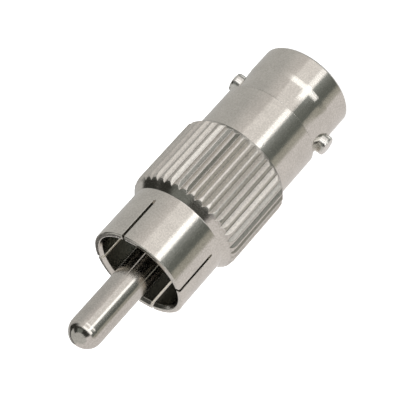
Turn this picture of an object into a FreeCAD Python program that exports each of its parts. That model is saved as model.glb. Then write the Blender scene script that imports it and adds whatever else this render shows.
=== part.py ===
import FreeCAD, Part
import math
import os

import Sketcher

# The adapter stands on the rim of its jack, at height 0.
# Its axis is the Z axis and the plug's centre pin points up.
# All sizes are in millimetres and degrees.

doc = FreeCAD.newDocument("adapter")
sheet = doc.addObject("Spreadsheet::Sheet", "sizes")
next_row = 1


def put_cell(name, text):
    global next_row
    sheet.set("A" + str(next_row), name)
    sheet.set("B" + str(next_row), text)
    sheet.setAlias("B" + str(next_row), name)
    next_row = next_row + 1


def derived(name, formula):
    put_cell(name, "=" + formula)


def value_of(name):
    return float(sheet.get(name))


# The sizes that can be set by themselves
driving_sizes = {
    # Jack barrel, outside
    "barrel_radius": 4.8,
    "barrel_edge": 0.2,
    "ring_length": 2.65,
    "relief_length": 3.35,
    "relief_bend": 12.85,
    "relief_back_rise": 0.04,
    "neck_step": 0.22,
    "neck_length": 5.26,
    "spigot_length": 4.59,
    "spigot_wall": 1.15,
    # Jack barrel, inside
    "barrel_wall": 0.74,
    "jack_depth": 5.3,
    "jack_mouth_edge": 0.25,
    "lip_thickness": 0.8,
    # Bayonet lugs
    "lug_radius": 0.98,
    "lug_stand": 0.73,
    "lug_setback": 1.5,
    "lug_edge": 0.3,
    "lug_edge_knee": 0.088,
    "lug_seat_floor": 0.24,
    # Knurled grip
    "grip_step": 0.7,
    "grip_length": 7.64,
    "grip_edge_length": 0.55,
    "grip_edge_height": 0.41,
    "tooth_end_length": 0.45,
    "tooth_end_height": 0.095,
    "shoulder_length": 0.87,
    "tooth_count": 40,
    "tooth_depth": 0.3,
    "valley_mouth_rise": 0.055,
    "valley_mouth_width": 0.873,
    "tooth_turn": 2.0,
    # Slotted collar
    "collar_step": 0.77,
    "collar_length": 5.86,
    "collar_wall": 0.66,
    "collar_depth": 6.2,
    "collar_rim_edge": 0.08,
    "collar_mouth_height": 0.18,
    "collar_mouth_length": 0.35,
    "slot_width": 0.3,
    "slot_length": 4.6,
    "shell_turn": 27.2,
    # Insulators
    "flange_step": 0.19,
    "flange_thickness": 1.5,
    "jack_gap": 1.68,
    "nose_recess": 0.2,
    "nose_edge": 0.15,
    "finger_gap": 0.05,
    # Centre contact line
    "contact_radius": 1.0,
    "contact_recess": 0.5,
    "contact_bore_radius": 0.675,
    "contact_bore_depth": 5.5,
    "contact_mouth_edge": 0.12,
    "contact_slot_width": 0.2,
    "contact_slot_length": 3.4,
    "contact_shoulder_setback": 2.56,
    "contact_step": 0.5,
    "pin_reach": 9.0,
    "pin_tip_radius": 1.65,
    "pin_straight_length": 4.5,
    "pin_swell": 0.11,
    "pin_seat_depth": 1.0,
    "pin_neck_radius": 1.1,
    "shank_radius": 0.6,
    "shank_length": 4.5,
}
for name, value in driving_sizes.items():
    put_cell(name, str(value))

# Radii that follow from the sizes
derived("barrel_face_radius", "barrel_radius - barrel_edge")
derived("relief_back_radius", "barrel_radius + relief_back_rise")
derived("neck_radius", "barrel_radius + neck_step")
derived("jack_radius", "barrel_radius - barrel_wall")
derived("jack_mouth_radius", "jack_radius + jack_mouth_edge")
derived("lug_seat_radius", "jack_radius + lug_seat_floor")
derived("lug_reach", "barrel_radius + lug_stand")
derived("lug_edge_reach", "lug_reach - lug_edge")
derived("lug_end_radius", "lug_radius - lug_edge")
derived("lug_knee_reach", "lug_reach - lug_edge_knee")
derived("lug_knee_radius", "lug_radius - lug_edge_knee")
derived("grip_radius", "neck_radius + grip_step")
derived("grip_edge_radius", "grip_radius - grip_edge_height")
derived("tooth_end_radius", "grip_radius - tooth_end_height")
derived("valley_radius", "grip_radius - tooth_depth")
derived("valley_mouth_radius", "grip_radius + valley_mouth_rise")
derived("half_valley_mouth", "valley_mouth_width / 2")
derived("collar_radius", "grip_radius - collar_step")
derived("collar_rim_radius", "collar_radius - collar_rim_edge")
derived("collar_bore_radius", "collar_radius - collar_wall")
derived("collar_mouth_radius", "collar_bore_radius + collar_mouth_height")
derived("spigot_radius", "collar_bore_radius + flange_step")
derived("nose_radius", "jack_radius - jack_gap")
derived("insulator_radius", "spigot_radius - spigot_wall")
derived("nose_face_radius", "nose_radius - nose_edge")
derived("finger_hole_radius", "contact_radius + finger_gap")
derived("contact_body_radius", "contact_radius + contact_step")
derived("contact_mouth_radius", "contact_bore_radius + contact_mouth_edge")
derived("pin_base_radius", "pin_tip_radius + pin_swell")
derived("slot_half_width", "slot_width / 2")
derived("contact_slot_half_width", "contact_slot_width / 2")

# Heights that follow from the sizes
derived("relief_back", "ring_length + relief_length")
derived("lug_height", "ring_length + lug_setback")
derived("lip_top", "jack_depth + lip_thickness")
derived("grip_back", "relief_back + neck_length")
derived("grip_edge_top", "grip_back + grip_edge_length")
derived("grip_front", "grip_back + grip_length")
derived("tooth_end", "grip_front + tooth_end_length")
derived("shoulder_top", "tooth_end + shoulder_length")
derived("collar_mouth", "shoulder_top + collar_length")
derived("collar_rim_start", "collar_mouth - collar_rim_edge")
derived("collar_mouth_start", "collar_mouth - collar_mouth_length")
derived("collar_floor", "collar_mouth - collar_depth")
derived("spigot_top", "grip_back + spigot_length")
derived("flange_top", "spigot_top + flange_thickness")
derived("slot_root", "collar_mouth - slot_length")
derived("slot_cutter_top", "collar_mouth + slot_width")
derived("nose_edge_top", "nose_recess + nose_edge")
derived("contact_mouth_top", "contact_recess + contact_mouth_edge")
derived("contact_bore_end", "contact_recess + contact_bore_depth")
derived("contact_slot_end", "contact_recess + contact_slot_length")
derived("contact_slot_floor", "contact_recess - contact_slot_width")
derived("contact_shoulder", "grip_back - contact_shoulder_setback")
derived("shank_end", "spigot_top - shank_length")
derived("pin_seat", "collar_floor - pin_seat_depth")
derived("pin_top", "collar_mouth + pin_reach")
derived("pin_dome_start", "pin_top - pin_tip_radius")
derived("pin_swell_start", "pin_dome_start - pin_straight_length")

doc.recompute()


def origin_plane(body, role):
    for feature in body.Origin.OriginFeatures:
        if feature.Role == role:
            return feature
    return None


def new_sketch(body, name, role):
    sketch = body.newObject("Sketcher::SketchObject", name)
    sketch.AttachmentSupport = (origin_plane(body, role), [""])
    sketch.MapMode = "FlatFace"
    return sketch


def bound(sketch, constraint, name):
    index = sketch.addConstraint(constraint)
    sketch.setExpression("Constraints[" + str(index) + "]", "sizes." + name)


def coordinate(name):
    if name is None:
        return 0.0
    return value_of(name)


def pin_down(sketch, item, end, across, up):
    # A missing name puts the corner on that axis of the sketch.
    if across is None:
        sketch.addConstraint(Sketcher.Constraint("PointOnObject", item, end, -2))
    else:
        rule = Sketcher.Constraint("DistanceX", -1, 1, item, end, value_of(across))
        bound(sketch, rule, across)
    if up is None:
        sketch.addConstraint(Sketcher.Constraint("PointOnObject", item, end, -1))
    else:
        rule = Sketcher.Constraint("DistanceY", -1, 1, item, end, value_of(up))
        bound(sketch, rule, up)


def arc_between(first, second, radius, side):
    chord = second - first
    half = chord.Length / 2
    lift = math.sqrt(max(radius * radius - half * half, 0.0))
    across = FreeCAD.Vector(-chord.y, chord.x, 0)
    across.normalize()
    centre = (first + second) * 0.5 + across * (lift * side)
    start = first
    finish = second
    if side < 0:
        start = second
        finish = first
    start_angle = math.atan2(start.y - centre.y, start.x - centre.x)
    finish_angle = math.atan2(finish.y - centre.y, finish.x - centre.x)
    if finish_angle < start_angle:
        finish_angle = finish_angle + 2 * math.pi
    circle = Part.Circle(centre, FreeCAD.Vector(0, 0, 1), radius)
    return Part.ArcOfCircle(circle, start_angle, finish_angle)


def outline(sketch, corners, bends):
    # Each bend names the corner where an arc starts, its radius and the side of its centre.
    points = []
    for across, up in corners:
        points.append(FreeCAD.Vector(coordinate(across), coordinate(up), 0))
    count = len(points)
    starts = []
    ends = []
    for index in range(count):
        first = points[index]
        second = points[(index + 1) % count]
        if index in bends:
            radius_name, side = bends[index]
            arc = arc_between(first, second, value_of(radius_name), side)
            item = sketch.addGeometry(arc, False)
            starts.append((item, 1 if side > 0 else 2))
            ends.append((item, 2 if side > 0 else 1))
        else:
            item = sketch.addGeometry(Part.LineSegment(first, second), False)
            starts.append((item, 1))
            ends.append((item, 2))
    for index in range(count):
        after = (index + 1) % count
        joint = Sketcher.Constraint("Coincident", *ends[index], *starts[after])
        sketch.addConstraint(joint)
    for index in range(count):
        across, up = corners[index]
        pin_down(sketch, starts[index][0], starts[index][1], across, up)
    for index in bends:
        radius_name, side = bends[index]
        rule = Sketcher.Constraint("Radius", starts[index][0], value_of(radius_name))
        bound(sketch, rule, radius_name)


def turned(body, name, corners, bends):
    sketch = new_sketch(body, name + "_outline", "XZ_Plane")
    outline(sketch, corners, bends)
    solid = body.newObject("PartDesign::Revolution", name + "_turned")
    solid.Profile = sketch
    solid.ReferenceAxis = (sketch, ["V_Axis"])
    solid.Angle = 360
    return solid


def slot_sketch(body, name, half_width, root, open_end, round_side):
    # A narrow slot seen from the side, with a round inner end.
    sketch = new_sketch(body, name, "YZ_Plane")
    half = value_of(half_width)
    low = value_of(root)
    high = value_of(open_end)
    left = sketch.addGeometry(Part.LineSegment(FreeCAD.Vector(-half, high, 0), FreeCAD.Vector(-half, low, 0)))
    right = sketch.addGeometry(Part.LineSegment(FreeCAD.Vector(half, low, 0), FreeCAD.Vector(half, high, 0)))
    closing = sketch.addGeometry(Part.LineSegment(FreeCAD.Vector(half, high, 0), FreeCAD.Vector(-half, high, 0)))
    circle = Part.Circle(FreeCAD.Vector(0, low, 0), FreeCAD.Vector(0, 0, 1), half)
    if round_side == "down":
        arc = sketch.addGeometry(Part.ArcOfCircle(circle, math.pi, 2 * math.pi))
        sketch.addConstraint(Sketcher.Constraint("Coincident", left, 2, arc, 1))
        sketch.addConstraint(Sketcher.Constraint("Coincident", right, 1, arc, 2))
    else:
        arc = sketch.addGeometry(Part.ArcOfCircle(circle, 0, math.pi))
        sketch.addConstraint(Sketcher.Constraint("Coincident", right, 1, arc, 1))
        sketch.addConstraint(Sketcher.Constraint("Coincident", left, 2, arc, 2))
    sketch.addConstraint(Sketcher.Constraint("Coincident", right, 2, closing, 1))
    sketch.addConstraint(Sketcher.Constraint("Coincident", closing, 2, left, 1))
    sketch.addConstraint(Sketcher.Constraint("Vertical", left))
    sketch.addConstraint(Sketcher.Constraint("Vertical", right))
    sketch.addConstraint(Sketcher.Constraint("Horizontal", closing))
    sketch.addConstraint(Sketcher.Constraint("PointOnObject", arc, 3, -2))
    sketch.addConstraint(Sketcher.Constraint("Horizontal", left, 2, arc, 3))
    bound(sketch, Sketcher.Constraint("DistanceY", -1, 1, arc, 3, low), root)
    bound(sketch, Sketcher.Constraint("DistanceX", -1, 1, right, 1, half), half_width)
    bound(sketch, Sketcher.Constraint("DistanceY", -1, 1, right, 1, low), root)
    bound(sketch, Sketcher.Constraint("DistanceY", -1, 1, right, 2, high), open_end)
    return sketch


def cut_through(body, name, sketch):
    pocket = body.newObject("PartDesign::Pocket", name)
    pocket.Profile = sketch
    pocket.Type = "ThroughAll"
    pocket.Midplane = True
    return pocket


def around(body, name, original, angle, count):
    pattern = body.newObject("PartDesign::PolarPattern", name)
    pattern.Originals = [original]
    pattern.Axis = (origin_plane(body, "Z_Axis"), [""])
    pattern.Angle = angle
    pattern.Occurrences = count
    body.Tip = pattern
    return pattern


def new_body(name):
    body = doc.addObject("PartDesign::Body", name)
    body.Label = name
    return body


# Plug shell: knurled grip with tapered tooth ends, conical shoulder and collar, turned from one piece
plug_shell = new_body("plug_shell")
turned(plug_shell, "shell", [
    ("spigot_radius", "grip_back"),
    ("grip_edge_radius", "grip_back"),
    ("grip_radius", "grip_edge_top"),
    ("grip_radius", "grip_front"),
    ("tooth_end_radius", "tooth_end"),
    ("collar_radius", "shoulder_top"),
    ("collar_radius", "collar_rim_start"),
    ("collar_rim_radius", "collar_mouth"),
    ("collar_mouth_radius", "collar_mouth"),
    ("collar_bore_radius", "collar_mouth_start"),
    ("collar_bore_radius", "flange_top"),
    ("spigot_radius", "flange_top"),
], {})

# Straight knurl: V-shaped valleys that leave narrow crests, cut along the whole grip
valley_sketch = new_sketch(plug_shell, "valley_outline", "XY_Plane")
turn = FreeCAD.Rotation(FreeCAD.Vector(0, 0, 1), value_of("tooth_turn"))
valley_sketch.AttachmentOffset = FreeCAD.Placement(FreeCAD.Vector(0, 0, 0), turn)
valley_sketch.setExpression("AttachmentOffset.Rotation.Angle", "sizes.tooth_turn")
mouth = value_of("valley_mouth_radius")
half_mouth = value_of("half_valley_mouth")
bottom = FreeCAD.Vector(value_of("valley_radius"), 0, 0)
upper = FreeCAD.Vector(mouth, half_mouth, 0)
lower = FreeCAD.Vector(mouth, -half_mouth, 0)
valley_sketch.addGeometry(Part.LineSegment(bottom, upper), False)
valley_sketch.addGeometry(Part.LineSegment(upper, lower), False)
valley_sketch.addGeometry(Part.LineSegment(lower, bottom), False)
for index in range(3):
    joint = Sketcher.Constraint("Coincident", index, 2, (index + 1) % 3, 1)
    valley_sketch.addConstraint(joint)
pin_down(valley_sketch, 0, 1, "valley_radius", None)
pin_down(valley_sketch, 1, 1, "valley_mouth_radius", "half_valley_mouth")
valley_sketch.addConstraint(Sketcher.Constraint("Symmetric", 1, 1, 1, 2, -1))
valley = cut_through(plug_shell, "valley", valley_sketch)
valleys = around(plug_shell, "valleys", valley, 360, 40)
valleys.setExpression("Occurrences", "sizes.tooth_count")

# Four slots divide the collar into spring fingers
collar_slot_sketch = slot_sketch(
    plug_shell, "collar_slot_outline", "slot_half_width", "slot_root", "slot_cutter_top", "down")
collar_slot = cut_through(plug_shell, "collar_slot", collar_slot_sketch)
around(plug_shell, "collar_slots", collar_slot, 90, 2)
shell_turn = FreeCAD.Rotation(FreeCAD.Vector(0, 0, 1), value_of("shell_turn"))
plug_shell.Placement = FreeCAD.Placement(FreeCAD.Vector(0, 0, 0), shell_turn)
plug_shell.setExpression("Placement.Rotation.Angle", "sizes.shell_turn")

# Jack barrel: front ring, shallow relief, neck and the spigot pressed into the grip
jack_barrel = new_body("jack_barrel")
turned(jack_barrel, "barrel", [
    ("jack_mouth_radius", None),
    ("barrel_face_radius", None),
    ("barrel_radius", "barrel_edge"),
    ("barrel_radius", "ring_length"),
    ("relief_back_radius", "relief_back"),
    ("neck_radius", "relief_back"),
    ("neck_radius", "grip_back"),
    ("spigot_radius", "grip_back"),
    ("spigot_radius", "spigot_top"),
    ("insulator_radius", "spigot_top"),
    ("insulator_radius", "lip_top"),
    ("nose_radius", "lip_top"),
    ("nose_radius", "jack_depth"),
    ("jack_radius", "jack_depth"),
    ("jack_radius", "jack_mouth_edge"),
], {3: ("relief_bend", -1)})

# Two seats for the bayonet lugs, cut outward from inside the wall
seat_sketch = new_sketch(jack_barrel, "lug_seat_outline", "YZ_Plane")
seat_sketch.AttachmentOffset.Base.z = value_of("lug_seat_radius")
seat_sketch.setExpression("AttachmentOffset.Base.z", "sizes.lug_seat_radius")
seat_centre = FreeCAD.Vector(0, value_of("lug_height"), 0)
seat_circle = Part.Circle(seat_centre, FreeCAD.Vector(0, 0, 1), value_of("lug_radius"))
seat_item = seat_sketch.addGeometry(seat_circle, False)
pin_down(seat_sketch, seat_item, 3, None, "lug_height")
bound(seat_sketch, Sketcher.Constraint("Radius", seat_item, value_of("lug_radius")), "lug_radius")
lug_seat = jack_barrel.newObject("PartDesign::Pocket", "lug_seat")
lug_seat.Profile = seat_sketch
lug_seat.Type = "ThroughAll"
lug_seat.Reversed = True
around(jack_barrel, "lug_seats", lug_seat, 360, 2)


def bayonet_lug(label, turn):
    # A round pin across the axis, with a rounded outer edge
    body = new_body(label)
    sketch = new_sketch(body, label + "_outline", "XZ_Plane")
    sketch.AttachmentOffset.Base.y = value_of("lug_height")
    sketch.setExpression("AttachmentOffset.Base.y", "sizes.lug_height")
    outline(sketch, [
        ("lug_seat_radius", None),
        ("lug_reach", None),
        ("lug_reach", "lug_end_radius"),
        ("lug_knee_reach", "lug_knee_radius"),
        ("lug_edge_reach", "lug_radius"),
        ("lug_seat_radius", "lug_radius"),
    ], {})
    solid = body.newObject("PartDesign::Revolution", label + "_turned")
    solid.Profile = sketch
    solid.ReferenceAxis = (sketch, ["H_Axis"])
    solid.Angle = 360
    about = FreeCAD.Rotation(FreeCAD.Vector(0, 0, 1), turn)
    body.Placement = FreeCAD.Placement(FreeCAD.Vector(0, 0, 0), about)
    return body


bayonet_lug_right = bayonet_lug("bayonet_lug_right", 0)
bayonet_lug_left = bayonet_lug("bayonet_lug_left", 180)

# White insulator: the nose that a plug slides over, and the body behind the lip
jack_insulator = new_body("jack_insulator")
turned(jack_insulator, "white", [
    ("finger_hole_radius", "nose_recess"),
    ("nose_face_radius", "nose_recess"),
    ("nose_radius", "nose_edge_top"),
    ("nose_radius", "lip_top"),
    ("insulator_radius", "lip_top"),
    ("insulator_radius", "spigot_top"),
    ("contact_body_radius", "spigot_top"),
    ("contact_body_radius", "contact_shoulder"),
    ("finger_hole_radius", "contact_shoulder"),
], {})

# Black insulator at the bottom of the collar
plug_insulator = new_body("plug_insulator")
turned(plug_insulator, "black", [
    ("pin_neck_radius", "spigot_top"),
    ("spigot_radius", "spigot_top"),
    ("spigot_radius", "flange_top"),
    ("collar_bore_radius", "flange_top"),
    ("collar_bore_radius", "collar_floor"),
    ("pin_base_radius", "collar_floor"),
    ("pin_base_radius", "pin_seat"),
    ("pin_neck_radius", "pin_seat"),
], {})

# Socket contact: spring fingers at the jack's face, a blind hole for the shank behind
socket_contact = new_body("socket_contact")
turned(socket_contact, "socket", [
    ("contact_mouth_radius", "contact_recess"),
    ("contact_radius", "contact_recess"),
    ("contact_radius", "contact_shoulder"),
    ("contact_body_radius", "contact_shoulder"),
    ("contact_body_radius", "spigot_top"),
    ("shank_radius", "spigot_top"),
    ("shank_radius", "shank_end"),
    (None, "shank_end"),
    (None, "contact_bore_end"),
    ("contact_bore_radius", "contact_bore_end"),
    ("contact_bore_radius", "contact_mouth_top"),
], {})
finger_slot_sketch = slot_sketch(
    socket_contact, "finger_slot_outline", "contact_slot_half_width",
    "contact_slot_end", "contact_slot_floor", "up")
finger_slot = cut_through(socket_contact, "finger_slot", finger_slot_sketch)
around(socket_contact, "finger_slots", finger_slot, 90, 2)

# Centre pin: rounded tip, straight front, slight swell towards its root, neck and shank
centre_pin = new_body("centre_pin")
turned(centre_pin, "pin", [
    (None, "shank_end"),
    ("shank_radius", "shank_end"),
    ("shank_radius", "spigot_top"),
    ("pin_neck_radius", "spigot_top"),
    ("pin_neck_radius", "pin_seat"),
    ("pin_base_radius", "pin_seat"),
    ("pin_base_radius", "collar_floor"),
    ("pin_tip_radius", "pin_swell_start"),
    ("pin_tip_radius", "pin_dome_start"),
    (None, "pin_top"),
], {8: ("pin_tip_radius", 1)})

pieces = [
    plug_shell,
    jack_barrel,
    bayonet_lug_right,
    bayonet_lug_left,
    jack_insulator,
    plug_insulator,
    socket_contact,
    centre_pin,
]

doc.recompute()
for item in doc.Objects:
    if "Invalid" in item.State or "Error" in item.State:
        raise RuntimeError("not built: " + item.Name)

os.makedirs("parts", exist_ok=True)
for piece in pieces:
    shape = piece.Shape
    if shape.isNull() or not shape.isValid():
        raise RuntimeError("no valid solid: " + piece.Label)
    if len(shape.Solids) != 1:
        raise RuntimeError("not one solid: " + piece.Label)
    shape.exportStep("parts/" + piece.Label + ".step")
    box = shape.optimalBoundingBox(True)
    print(piece.Label, round(shape.Volume, 3), round(box.XLength, 3), round(box.ZMin, 3), round(box.ZMax, 3))
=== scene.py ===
import math

import bpy
from mathutils import Matrix, Vector

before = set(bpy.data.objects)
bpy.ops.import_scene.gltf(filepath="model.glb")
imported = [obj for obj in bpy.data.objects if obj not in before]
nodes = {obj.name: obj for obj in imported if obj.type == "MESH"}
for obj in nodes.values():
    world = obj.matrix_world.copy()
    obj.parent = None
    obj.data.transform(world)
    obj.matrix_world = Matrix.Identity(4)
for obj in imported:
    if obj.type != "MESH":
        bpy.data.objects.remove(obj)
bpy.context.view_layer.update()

# ---------- camera: the photograph's viewing angle ----------
VIEW_AZIMUTH = math.radians(77.03)     # round the adapter's axis, from the right lug
VIEW_TILT = math.radians(26.34)        # the pin end leans towards the camera
ROLL_IN_IMAGE = math.radians(131.81)   # direction of the pin in the image, clockwise from right
DISTANCE = 0.180
PIXELS_PER_RADIAN = 1977.1
IMAGE_SIDE = 400
SENSOR_WIDTH = 36                      # millimetres
AIM_HEIGHT = 0.018                     # the point of the adapter's axis that is at AIM_PIXEL
AIM_PIXEL = (192.27, 212.66)

# Names that end in _c are in the camera's frame: x to the right, y down, z away from it
axis_c = Vector((math.cos(VIEW_TILT) * math.cos(ROLL_IN_IMAGE),
                 math.cos(VIEW_TILT) * math.sin(ROLL_IN_IMAGE),
                 -math.sin(VIEW_TILT)))
near_c = Vector((0, 0, -1)) - axis_c * axis_c.dot(Vector((0, 0, -1)))
near_c.normalize()
side_c = near_c.cross(axis_c)
x_c = near_c * math.cos(VIEW_AZIMUTH) + side_c * math.sin(VIEW_AZIMUTH)
y_c = axis_c.cross(x_c)
back = Matrix((x_c, y_c, axis_c))
aim_c = Vector(((AIM_PIXEL[0] - IMAGE_SIDE / 2) / PIXELS_PER_RADIAN * DISTANCE,
                (AIM_PIXEL[1] - IMAGE_SIDE / 2) / PIXELS_PER_RADIAN * DISTANCE,
                DISTANCE))
right, up, behind = (back @ Vector(way) for way in ((1, 0, 0), (0, -1, 0), (0, 0, -1)))
pose = Matrix((right, up, behind)).transposed().to_4x4()
pose.translation = Vector((0, 0, AIM_HEIGHT)) - back @ aim_c

camera_data = bpy.data.cameras.new("camera")
camera_data.sensor_width = SENSOR_WIDTH
camera_data.lens = PIXELS_PER_RADIAN / IMAGE_SIDE * SENSOR_WIDTH
camera_data.clip_start = 0.01
camera_data.clip_end = 20
camera = bpy.data.objects.new("camera", camera_data)
camera.matrix_world = pose
bpy.context.scene.collection.objects.link(camera)
bpy.context.scene.camera = camera
bpy.context.scene.view_settings.view_transform = "Standard"


# ---------- small helpers for node trees ----------
def new_tree(owner):
    owner.use_nodes = True
    tree = owner.node_tree
    tree.nodes.clear()
    return tree


def add(tree, kind, **settings):
    node = tree.nodes.new(kind)
    for name, value in settings.items():
        setattr(node, name, value)
    return node


def maths(tree, operation, *sources):
    node = add(tree, "ShaderNodeMath", operation=operation)
    for socket, source in zip(node.inputs, sources):
        if isinstance(source, (int, float)):
            socket.default_value = source
        else:
            tree.links.new(source, socket)
    return node.outputs[0]


def plus(tree, first, second):
    return maths(tree, "ADD", first, second)


def times(tree, first, second):
    return maths(tree, "MULTIPLY", first, second)


def split_up(tree, vector):
    node = add(tree, "ShaderNodeSeparateXYZ")
    tree.links.new(vector, node.inputs[0])
    return node.outputs


def blend_colour(tree, factor, low, high):
    node = add(tree, "ShaderNodeMix", data_type="RGBA")
    tree.links.new(factor, node.inputs[0])
    for socket, source in ((node.inputs[6], low), (node.inputs[7], high)):
        if isinstance(source, tuple):
            socket.default_value = (*source, 1)
        else:
            tree.links.new(source, socket)
    return node.outputs[2]


def ramp(tree, source, stops):
    node = add(tree, "ShaderNodeValToRGB")
    bar = node.color_ramp
    while len(bar.elements) < len(stops):
        bar.elements.new(1.0)
    for element, (place_on_bar, colour) in zip(bar.elements, stops):
        element.position = place_on_bar
        element.color = (*colour, 1)
    tree.links.new(source, node.inputs[0])
    return node.outputs[0]


def shaded(colour, factor):
    return tuple(factor * part for part in colour)


# ---------- studio: what the plating mirrors ----------
DEGREES = 180 / math.pi
WHITE = (1, 1, 1)
SURROUND = (0.7, 0.7, 0.7)             # the world's light on plastics and the floor

world = bpy.data.worlds.new("studio")
bpy.context.scene.world = world
tree = new_tree(world)
turned = add(tree, "ShaderNodeVectorRotate", rotation_type="Z_AXIS")
turned.inputs["Angle"].default_value = -VIEW_AZIMUTH
tree.links.new(add(tree, "ShaderNodeTexCoord").outputs["Generated"], turned.inputs["Vector"])
way_x, way_y, way_z = split_up(tree, turned.outputs[0])
around = times(tree, maths(tree, "ARCTAN2", times(tree, way_y, -1), way_x), DEGREES)
height = times(tree, maths(tree, "ARCSINE", way_z), DEGREES)
around_place = plus(tree, maths(tree, "DIVIDE", around, 360), 0.5)
height_place = plus(tree, maths(tree, "DIVIDE", height, 180), 0.5)


def band(*stops):
    # Colours round the studio at one height, by the angle from the camera's side, in degrees
    return ramp(tree, around_place, [((angle + 180) / 360, colour) for angle, colour in stops])


LEFT = (0.53, 0.525, 0.51)
PALE = (0.72, 0.69, 0.67)
WARM = (0.93, 0.90, 0.88)
RIGHT = (0.75, 0.72, 0.71)
GREY = (0.40, 0.42, 0.41)
SOFT = (0.27, 0.285, 0.27)
SHADE = (0.19, 0.20, 0.185)
DARK = (0.15, 0.16, 0.145)
BLACK = (0.035, 0.035, 0.03)
BROWN = (0.41, 0.40, 0.35)
TOP = (0.56, 0.56, 0.54)
UNDER = (0.24, 0.25, 0.235)
BRIGHT = (1.8, 1.8, 1.8)

low_band = band(
    (-180, LEFT), (-75, LEFT), (-36, PALE), (-31, WARM), (15, WARM), (19, SOFT),
    (30, SHADE), (45, DARK), (55, DARK), (60, BROWN), (77, RIGHT), (170, RIGHT))
side_band = band(
    (-180, BRIGHT), (-178, DARK), (-164, LEFT), (-75, LEFT), (-36, PALE), (-31, WARM),
    (1, WARM), (4, BRIGHT), (14, BRIGHT), (18, GREY), (26, SOFT), (33, SHADE), (41, DARK),
    (50, DARK), (56, BROWN), (68, BROWN), (74, RIGHT), (164, RIGHT), (172, BRIGHT))
level_band = band(
    (-180, BRIGHT), (-178, DARK), (-164, LEFT), (-60, LEFT), (-36, WARM), (-31, BRIGHT),
    (34, BRIGHT), (40, DARK), (55, DARK), (60, BROWN), (77, RIGHT), (164, RIGHT), (172, BRIGHT))
raised_band = band(
    (-178, LEFT), (-140, LEFT), (-133, BLACK), (-85, BLACK), (-62, LEFT), (-36, WARM),
    (-31, BRIGHT), (34, BRIGHT), (40, DARK), (55, DARK), (60, BROWN), (77, RIGHT), (176, RIGHT))
above_band = band((-178, BLACK), (32, BLACK), (45, RIGHT), (176, RIGHT))
high_band = band(
    (-178, TOP), (-106, TOP), (-96, BLACK), (-74, BLACK), (-62, SHADE), (-26, SHADE),
    (-16, BLACK), (32, BLACK), (45, RIGHT), (174, RIGHT), (178, TOP))

# From straight below to straight above, in degrees: where each change starts and ends, and
# what follows it
studio = BRIGHT
for low, high, following in (
        (-79, -77, LEFT), (-73, -71, UNDER), (-56, -52, low_band), (-33, -30, side_band),
        (-16.5, -14.5, level_band), (-10, -7, side_band), (4, 7, raised_band),
        (17, 21, above_band), (28, 31, high_band), (52, 56, TOP)):
    change = ramp(tree, height_place, [(0.5 + low / 180, (0, 0, 0)), (0.5 + high / 180, WHITE)])
    studio = blend_colour(tree, change, studio, following)

light_path = add(tree, "ShaderNodeLightPath")
plain = blend_colour(tree, light_path.outputs["Is Camera Ray"], SURROUND, WHITE)
plain = blend_colour(tree, light_path.outputs["Is Transmission Ray"], plain, WHITE)
colour = blend_colour(tree, light_path.outputs["Is Glossy Ray"], plain, studio)
shader = add(tree, "ShaderNodeBackground")
shader.inputs["Strength"].default_value = 1
tree.links.new(colour, shader.inputs["Color"])
tree.links.new(shader.outputs[0], add(tree, "ShaderNodeOutputWorld").inputs[0])

# ---------- floor ----------
FLOOR_REACH = 2
FLOOR_DROP = 0.00003
FLOOR_COLOUR = (0.45, 0.45, 0.45)
FLOOR_GLOW = 0.66

corners = [(x * FLOOR_REACH, y * FLOOR_REACH, 0) for x, y in ((-1, -1), (1, -1), (1, 1), (-1, 1))]
floor_mesh = bpy.data.meshes.new("floor")
floor_mesh.from_pydata(corners, [], [(0, 1, 2, 3)])
floor = bpy.data.objects.new("floor", floor_mesh)
floor.location.z = -FLOOR_DROP
bpy.context.scene.collection.objects.link(floor)
floor.visible_glossy = False

# Pale from above, clear from below
floor_paint = bpy.data.materials.new("floor_paint")
tree = new_tree(floor_paint)
matt = add(tree, "ShaderNodeBsdfDiffuse")
matt.inputs["Color"].default_value = (*FLOOR_COLOUR, 1)
glow = add(tree, "ShaderNodeEmission")
glow.inputs["Strength"].default_value = FLOOR_GLOW
both = add(tree, "ShaderNodeAddShader")
clear = add(tree, "ShaderNodeBsdfTransparent")
chooser = add(tree, "ShaderNodeMixShader")
out = add(tree, "ShaderNodeOutputMaterial")
tree.links.new(matt.outputs[0], both.inputs[0])
tree.links.new(glow.outputs[0], both.inputs[1])
tree.links.new(add(tree, "ShaderNodeNewGeometry").outputs["Backfacing"], chooser.inputs[0])
tree.links.new(both.outputs[0], chooser.inputs[1])
tree.links.new(clear.outputs[0], chooser.inputs[2])
tree.links.new(chooser.outputs[0], out.inputs[0])
floor_mesh.materials.append(floor_paint)

# ---------- lamps ----------
LAMP_WIDTH = 0.5
LAMP_AIM = Vector((0, 0, 0.017))


def lamp(name, place, power):
    data = bpy.data.lights.new(name, "AREA")
    data.shape = "DISK"
    data.size = LAMP_WIDTH
    data.energy = power
    lit = bpy.data.objects.new(name, data)
    lit.location = place
    lit.rotation_mode = "QUATERNION"
    lit.rotation_quaternion = (LAMP_AIM - Vector(place)).to_track_quat("-Z", "Y")
    lit.visible_glossy = False
    lit.visible_camera = False
    bpy.context.scene.collection.objects.link(lit)


lamp("key_lamp", (-0.25, 0.45, 0.6), 9.0)
lamp("fill_lamp", (0.5, 0.1, 0.45), 4.0)

# ---------- materials ----------
# Noise: scale and detail; a stretched noise has its scale along x, y and z instead
CLOUD = (600, 5)
SPECKS = (11000, 2)
FLECKS = (6500, 2)
TURNING_MARKS = (1, 3, (250, 250, 11000))
GRIP_STREAKS = (1, 3, (15000, 15000, 6000))
PLASTIC_CLOUD = (1200, 4)

EDGE_RADIUS = 0.0001
PLATING_BUMP = 0.000004
PLASTIC_BUMP = 0.00002

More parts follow.
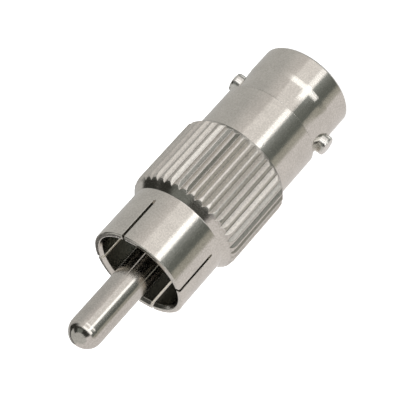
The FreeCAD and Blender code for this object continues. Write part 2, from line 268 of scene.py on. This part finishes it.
# The grip ends at GRIP_TOP, towards the pin. Painted shade in the knurl's valleys fades in
# between the two radii.
GRIP_TOP = 0.0195
GRIP_BLEND = 0.0002
GRIP_ROUGHER = 0.19
VALLEY_SHADE_STARTS = 0.00562
VALLEY_SHADE_FULL = 0.00545

# The softly rolled edge between the barrel's front ring and its relief
LIP_START = 0.0026
LIP_END = 0.0036
LIP_DROP = 0.00005


def noise_at(tree, place, scale, detail, stretch=None):
    if stretch:
        mapping = add(tree, "ShaderNodeMapping", vector_type="POINT")
        mapping.inputs["Scale"].default_value = stretch
        tree.links.new(place, mapping.inputs["Vector"])
        place = mapping.outputs[0]
    node = add(tree, "ShaderNodeTexNoise")
    node.inputs["Scale"].default_value = scale
    node.inputs["Detail"].default_value = detail
    tree.links.new(place, node.inputs["Vector"])
    return node.outputs[0]


def fade(tree, source, start, end):
    node = add(tree, "ShaderNodeMapRange", interpolation_type="SMOOTHSTEP")
    node.inputs["From Min"].default_value = start
    node.inputs["From Max"].default_value = end
    tree.links.new(source, node.inputs["Value"])
    return node.outputs[0]


def bumped(tree, height, distance, strength=1.0, normal=None):
    node = add(tree, "ShaderNodeBump")
    node.inputs["Strength"].default_value = strength
    node.inputs["Distance"].default_value = distance
    tree.links.new(height, node.inputs["Height"])
    if normal:
        tree.links.new(normal, node.inputs["Normal"])
    return node.outputs[0]


def worn_edges(tree):
    # The rounded normal of every edge, and a mask that is 1 where it turns away from the face
    rounded = add(tree, "ShaderNodeBevel", samples=8)
    rounded.inputs["Radius"].default_value = EDGE_RADIUS
    face = add(tree, "ShaderNodeNewGeometry").outputs["Normal"]
    compare = add(tree, "ShaderNodeVectorMath", operation="DOT_PRODUCT")
    tree.links.new(rounded.outputs[0], compare.inputs[0])
    tree.links.new(face, compare.inputs[1])
    return rounded.outputs[0], fade(tree, compare.outputs["Value"], 0.995, 0.9)


def new_paint(name):
    paint = bpy.data.materials.new(name)
    tree = new_tree(paint)
    body = add(tree, "ShaderNodeBsdfPrincipled")
    tree.links.new(body.outputs[0], add(tree, "ShaderNodeOutputMaterial").inputs[0])
    return paint, tree, body, add(tree, "ShaderNodeTexCoord").outputs["Object"]


def grip_finish(tree, place, cloud, colour, rough, dull, pale):
    # The knurl is rougher, with painted shade low in its valleys and faint streaks along its
    # teeth
    x, y, z = split_up(tree, place)
    inside = fade(tree, z, GRIP_TOP + GRIP_BLEND, GRIP_TOP - GRIP_BLEND)
    rough = plus(tree, rough, times(tree, inside, GRIP_ROUGHER))
    reach = maths(tree, "SQRT", plus(tree, times(tree, x, x), times(tree, y, y)))
    # Painted shade: the knurl's valleys get darker towards their bottoms
    deep = times(tree, fade(tree, reach, VALLEY_SHADE_STARTS, VALLEY_SHADE_FULL), inside)
    painted_valley_shade = times(tree, deep, plus(tree, times(tree, cloud, 0.45), 0.22))
    colour = blend_colour(tree, painted_valley_shade, colour, dull)
    streaks = noise_at(tree, place, *GRIP_STREAKS)
    for end, strength, tint in ((0.64, 0.25, dull), (0.38, 0.6, pale)):
        some = times(tree, fade(tree, streaks, 0.50, end), strength)
        colour = blend_colour(tree, times(tree, some, inside), colour, tint)
    return colour, rough


def plating(name, base, roughness, along, marks, grain, grip=False, lip=False):
    # Bright nickel: cloudy, finely mottled tone, turning marks round the axis, pale rubbed edges
    paint, tree, metal, place = new_paint(name)
    metal.inputs["Metallic"].default_value = 1
    metal.inputs["Anisotropic"].default_value = along
    metal.inputs["Anisotropic Rotation"].default_value = 0.25
    tangent = add(tree, "ShaderNodeTangent", direction_type="RADIAL", axis="Z")
    tree.links.new(tangent.outputs[0], metal.inputs["Tangent"])
    cloud, specks, flecks, rings = (
        noise_at(tree, place, *kind) for kind in (CLOUD, SPECKS, FLECKS, TURNING_MARKS))
    normal, rubbed = worn_edges(tree)

    mottle = plus(tree, times(tree, cloud, 0.35), times(tree, flecks, 0.65))
    tone = ramp(tree, mottle, [(0.38, shaded(base, 0.89)), (0.62, shaded(base, 1.08))])
    pale = tuple(min(1.08 * part + 0.02, 0.95) for part in base)
    wear = times(tree, rubbed, cloud)
    colour = blend_colour(tree, wear, tone, pale)
    rough = plus(tree, times(tree, cloud, 0.06), roughness - 0.05)
    rough = plus(tree, rough, times(tree, rings, 0.04))
    rough = plus(tree, rough, times(tree, wear, 0.08))
    if grip:
        # A darker tone, used for the painted shade in the knurl's valleys and for the dull
        # streaks
        dull = shaded(base, 0.42)
        colour, rough = grip_finish(tree, place, cloud, colour, rough, dull, pale)
    tree.links.new(colour, metal.inputs["Base Color"])
    tree.links.new(rough, metal.inputs["Roughness"])

    if lip:
        step = fade(tree, split_up(tree, place)[2], LIP_END, LIP_START)
        normal = bumped(tree, step, LIP_DROP, normal=normal)
    relief = plus(tree, times(tree, rings, marks), times(tree, specks, grain))
    normal = bumped(tree, relief, PLATING_BUMP, normal=normal)
    tree.links.new(normal, metal.inputs["Normal"])
    return paint


def moulded(name, low, high, roughness):
    paint, tree, body, place = new_paint(name)
    cloud = noise_at(tree, place, *PLASTIC_CLOUD)
    rough = plus(tree, times(tree, cloud, 0.1), roughness - 0.05)
    normal = bumped(tree, cloud, PLASTIC_BUMP, strength=0.25)
    tree.links.new(ramp(tree, cloud, [(0.35, low), (0.65, high)]), body.inputs["Base Color"])
    tree.links.new(rough, body.inputs["Roughness"])
    tree.links.new(normal, body.inputs["Normal"])
    return paint


# Platings: colour, roughness, how far it is drawn out round the axis, turning marks and grain
NICKEL = (0.70, 0.67, 0.62)
# The lugs get a lighter copy of the nickel: a painted highlight that makes them look brighter
LUG_NICKEL_PAINTED_BRIGHT = (0.82, 0.80, 0.76)
# The pin gets a darker copy of the nickel: painted shade that makes it look darker
PIN_NICKEL_PAINTED_DARKER = (0.64, 0.61, 0.565)
WARM_NICKEL = (0.72, 0.66, 0.55)
lug_paint = plating("lug_plating", LUG_NICKEL_PAINTED_BRIGHT, 0.24, 0.0, 0.2, 0.8)
paints = {
    "plug_shell": plating("shell_plating", NICKEL, 0.13, 0.6, 0.6, 1.0, grip=True),
    "jack_barrel": plating("barrel_plating", NICKEL, 0.11, 0.5, 0.6, 0.9, lip=True),
    "bayonet_lug_right": lug_paint,
    "bayonet_lug_left": lug_paint,
    "centre_pin": plating("pin_plating", PIN_NICKEL_PAINTED_DARKER, 0.12, 0.5, 0.6, 0.9),
    "socket_contact": plating("contact_plating", WARM_NICKEL, 0.22, 0.5, 0.5, 0.8),
    "jack_insulator": moulded(
        "white_insulator", (0.80, 0.80, 0.77), (0.86, 0.86, 0.83), 0.42),
    "plug_insulator": moulded(
        "black_insulator", (0.07, 0.078, 0.068), (0.095, 0.104, 0.092), 0.5),
}
for name, paint in paints.items():
    mesh_slots = nodes[name].data.materials
    if len(mesh_slots) == 0:
        mesh_slots.append(paint)
    for index in range(len(mesh_slots)):
        mesh_slots[index] = paint
